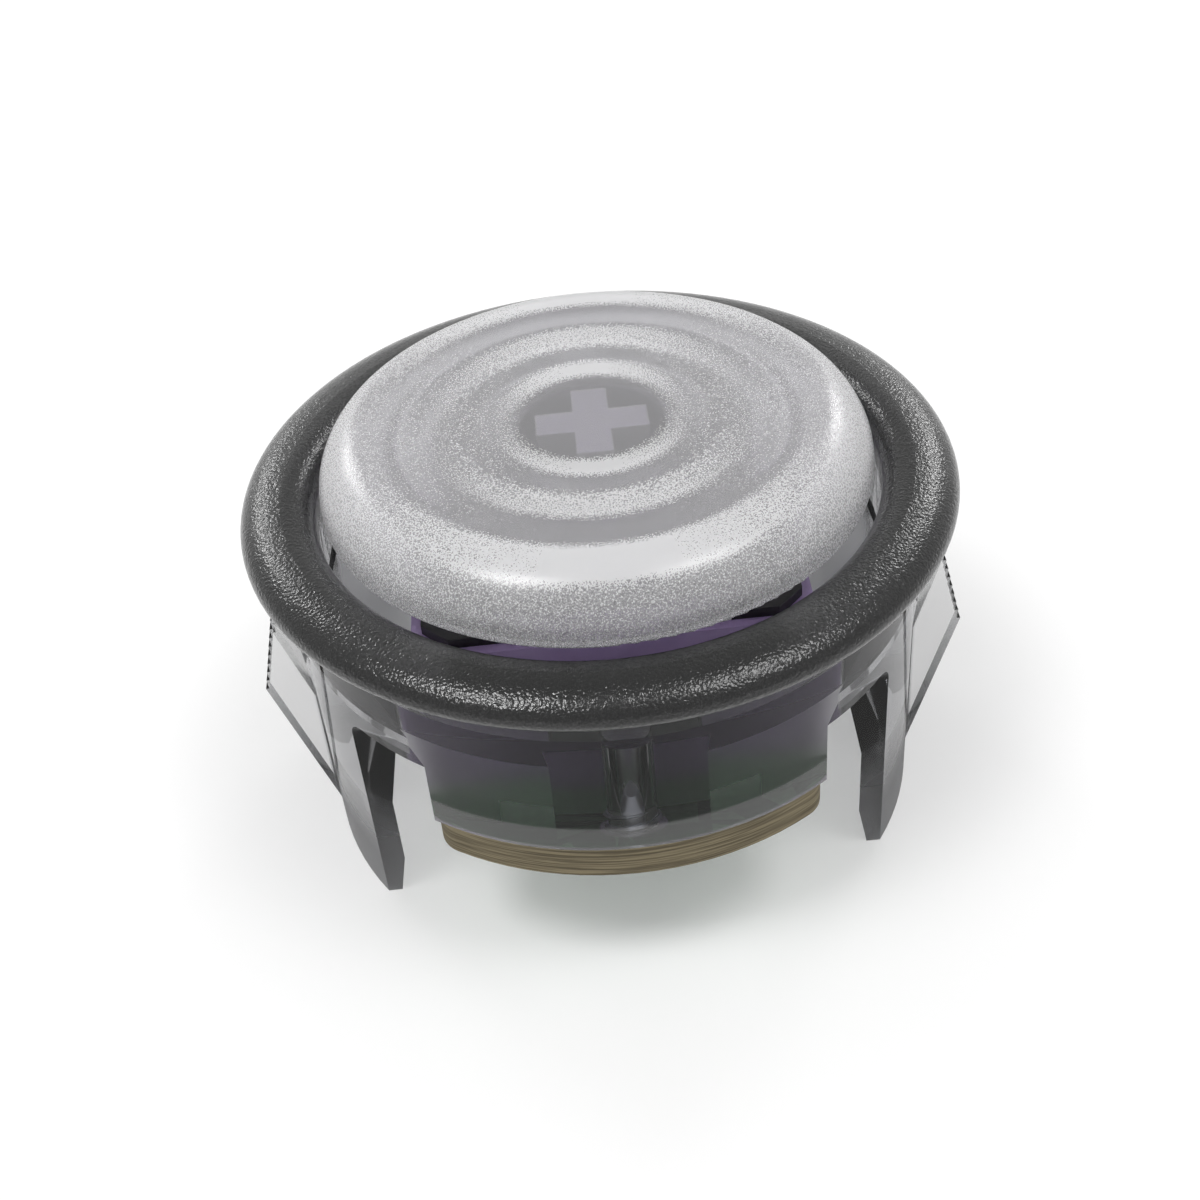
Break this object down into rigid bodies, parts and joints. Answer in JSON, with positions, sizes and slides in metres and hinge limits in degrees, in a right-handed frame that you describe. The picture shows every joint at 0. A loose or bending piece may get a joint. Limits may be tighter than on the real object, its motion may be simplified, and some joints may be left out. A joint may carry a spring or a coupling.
{
  "type": "arcade push button",
  "caption": "Round snap-in push button: faintly dished clear cap on a sprung key switch, in a smoke-clear ring housing with toothed snap wings, circuit board and blade terminals.",
  "frame": {"origin": "on the button's axis, at the panel's face under the rim", "axes": "+Z out of the panel towards the finger, snap arms at +X and -X, terminals towards -Y"},
  "size_m": [0.027, 0.0266, 0.0169],
  "materials": {
    "smoke_polycarbonate": "moulded, smoke clear",
    "clear_polycarbonate": "moulded, clear",
    "lavender_acetal": "moulded",
    "black_nylon": "moulded",
    "purple_polycarbonate": "moulded, tinted",
    "spring_steel": "drawn wire",
    "contact_bronze": "stamped",
    "silver_contact": "welded",
    "green_laminate": "solder mask over glass laminate",
    "tinned_brass": "stamped, tin plated",
    "solder": "soldered",
    "zinc_steel": "zinc plated"
  },
  "bodies": {
    "shell": {"housing": "smoke_polycarbonate", "switch_cover": "black_nylon", "switch_base": "purple_polycarbonate", "return_spring": "spring_steel", "contact_leaf": "contact_bronze", "contact_blade": "contact_bronze", "leaf_contact_point": "silver_contact", "blade_contact_point": "silver_contact", "circuit_board": "green_laminate", "socket_body": "black_nylon", "socket_contact_left": "contact_bronze", "socket_contact_right": "contact_bronze", "terminal_left": "tinned_brass", "terminal_right": "tinned_brass", "solder_joints": "solder", "board_screws": "zinc_steel"},
    "plunger": {"button_cap": "clear_polycarbonate", "switch_stem": "lavender_acetal"}
  },
  "joints": [
    {"name": "press", "type": "slide", "parent": "shell", "child": "plunger", "axis": [0, 0, -1], "range_m": [0, 0.003], "stiffness_N_per_m": 100, "springref_m": -0.0045, "deforming": ["return_spring"]}
  ]
}
